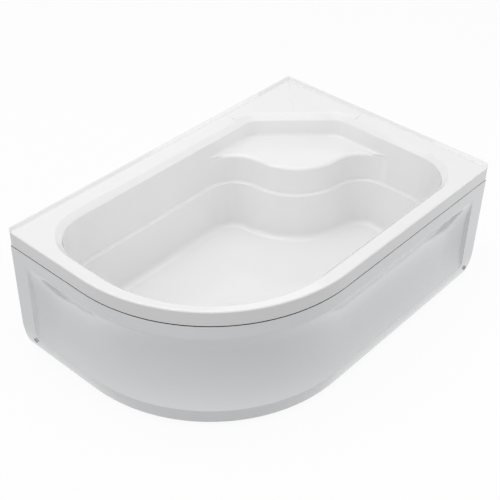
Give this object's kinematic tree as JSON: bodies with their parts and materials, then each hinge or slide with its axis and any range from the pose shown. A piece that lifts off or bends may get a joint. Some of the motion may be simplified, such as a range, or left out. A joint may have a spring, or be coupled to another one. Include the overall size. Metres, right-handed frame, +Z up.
{
  "type": "shower tray with seat and apron",
  "caption": "Deep asymmetric shower tray with a moulded corner seat, mid-height ledge, wall lip, curved scooped apron, steel frame on screw feet and a lift-out drain trap.",
  "frame": {"origin": "on the floor under the middle of the tray's plan rectangle", "axes": "+X along the long wall towards the wall corner, +Y towards the long wall, +Z up"},
  "size_m": [1.2, 0.8, 0.44],
  "materials": {
    "tray_white": "gloss white acrylic",
    "apron_white": "gloss white acrylic",
    "frame_steel": "grey powder coat",
    "zinc_steel": "zinc plated",
    "board": "raw particle board",
    "dark_plastic": "moulded matt",
    "trap_plastic": "moulded satin",
    "seal_rubber": "matt",
    "chrome": "polished"
  },
  "bodies": {
    "base": {"tray_shell": "tray_white", "apron_panel": "apron_white", "apron_screw_caps": "apron_white", "rear_rail": "frame_steel", "side_rail": "frame_steel", "left_rail": "frame_steel", "front_rail": "frame_steel", "cross_rail_left": "frame_steel", "cross_rail_right": "frame_steel", "mid_rail_left": "frame_steel", "mid_rail_right": "frame_steel", "front_brace": "frame_steel", "seat_brace": "frame_steel", "post_left": "frame_steel", "post_corner": "frame_steel", "post_right": "frame_steel", "seat_post": "frame_steel", "apron_screws": "zinc_steel", "plate_screws": "zinc_steel", "apron_bracket_left": "zinc_steel", "apron_bracket_right": "zinc_steel", "foot_nuts": "zinc_steel", "floor_board": "board", "seat_board": "board", "rim_block_left": "board", "rim_block_corner": "board", "rim_block_right": "board", "apron_clips": "dark_plastic", "trap_body": "trap_plastic", "outlet_nut": "trap_plastic", "waste_flange": "trap_plastic", "flange_seal": "seal_rubber", "trap_seal": "seal_rubber", "outlet_seal": "seal_rubber"},
    "pad_left_rear": {"foot_pad_left_rear": "dark_plastic"},
    "stud_left_rear": {"foot_stud_left_rear": "zinc_steel"},
    "pad_wall_corner": {"foot_pad_wall_corner": "dark_plastic"},
    "stud_wall_corner": {"foot_stud_wall_corner": "zinc_steel"},
    "pad_right_front": {"foot_pad_right_front": "dark_plastic"},
    "stud_right_front": {"foot_stud_right_front": "zinc_steel"},
    "pad_left_front": {"foot_pad_left_front": "dark_plastic"},
    "stud_left_front": {"foot_stud_left_front": "zinc_steel"},
    "pad_front_left": {"foot_pad_front_left": "dark_plastic"},
    "stud_front_left": {"foot_stud_front_left": "zinc_steel"},
    "pad_middle": {"foot_pad_middle": "dark_plastic"},
    "stud_middle": {"foot_stud_middle": "zinc_steel"},
    "strainer": {"strainer_cover": "chrome", "trap_insert": "trap_plastic"}
  },
  "joints": [
    {"name": "foot_left_rear_height", "type": "slide", "parent": "base", "child": "pad_left_rear", "axis": [0, 0, -1], "range_m": [0, 0.02]},
    {"name": "foot_left_rear_turn", "type": "hinge", "parent": "pad_left_rear", "child": "stud_left_rear", "pos_m": [-0.548, 0.368, 0.03], "axis": [0, 0, -1], "range_deg": [0, 4115]},
    {"name": "foot_wall_corner_height", "type": "slide", "parent": "base", "child": "pad_wall_corner", "axis": [0, 0, -1], "range_m": [0, 0.02]},
    {"name": "foot_wall_corner_turn", "type": "hinge", "parent": "pad_wall_corner", "child": "stud_wall_corner", "pos_m": [0.568, 0.368, 0.03], "axis": [0, 0, -1], "range_deg": [0, 4115]},
    {"name": "foot_right_front_height", "type": "slide", "parent": "base", "child": "pad_right_front", "axis": [0, 0, -1], "range_m": [0, 0.02]},
    {"name": "foot_right_front_turn", "type": "hinge", "parent": "pad_right_front", "child": "stud_right_front", "pos_m": [0.568, -0.348, 0.03], "axis": [0, 0, -1], "range_deg": [0, 4115]},
    {"name": "foot_left_front_height", "type": "slide", "parent": "base", "child": "pad_left_front", "axis": [0, 0, -1], "range_m": [0, 0.02]},
    {"name": "foot_left_front_turn", "type": "hinge", "parent": "pad_left_front", "child": "stud_left_front", "pos_m": [-0.548, 0.04, 0.03], "axis": [0, 0, -1], "range_deg": [0, 4115]},
    {"name": "foot_front_left_height", "type": "slide", "parent": "base", "child": "pad_front_left", "axis": [0, 0, -1], "range_m": [0, 0.02]},
    {"name": "foot_front_left_turn", "type": "hinge", "parent": "pad_front_left", "child": "stud_front_left", "pos_m": [-0.16, -0.348, 0.03], "axis": [0, 0, -1], "range_deg": [0, 4115]},
    {"name": "foot_middle_height", "type": "slide", "parent": "base", "child": "pad_middle", "axis": [0, 0, -1], "range_m": [0, 0.02]},
    {"name": "foot_middle_turn", "type": "hinge", "parent": "pad_middle", "child": "stud_middle", "pos_m": [0.15, 0, 0.03], "axis": [0, 0, -1], "range_deg": [0, 4115]},
    {"name": "strainer_lift", "type": "slide", "parent": "base", "child": "strainer", "axis": [0, 0, 1], "range_m": [0, 0.12]}
  ],
  "couplings": [
    {"joint": "foot_left_rear_turn", "follows": "foot_left_rear_height", "rad_per_m": 3590.4},
    {"joint": "foot_wall_corner_turn", "follows": "foot_wall_corner_height", "rad_per_m": 3590.4},
    {"joint": "foot_right_front_turn", "follows": "foot_right_front_height", "rad_per_m": 3590.4},
    {"joint": "foot_left_front_turn", "follows": "foot_left_front_height", "rad_per_m": 3590.4},
    {"joint": "foot_front_left_turn", "follows": "foot_front_left_height", "rad_per_m": 3590.4},
    {"joint": "foot_middle_turn", "follows": "foot_middle_height", "rad_per_m": 3590.4}
  ]
}
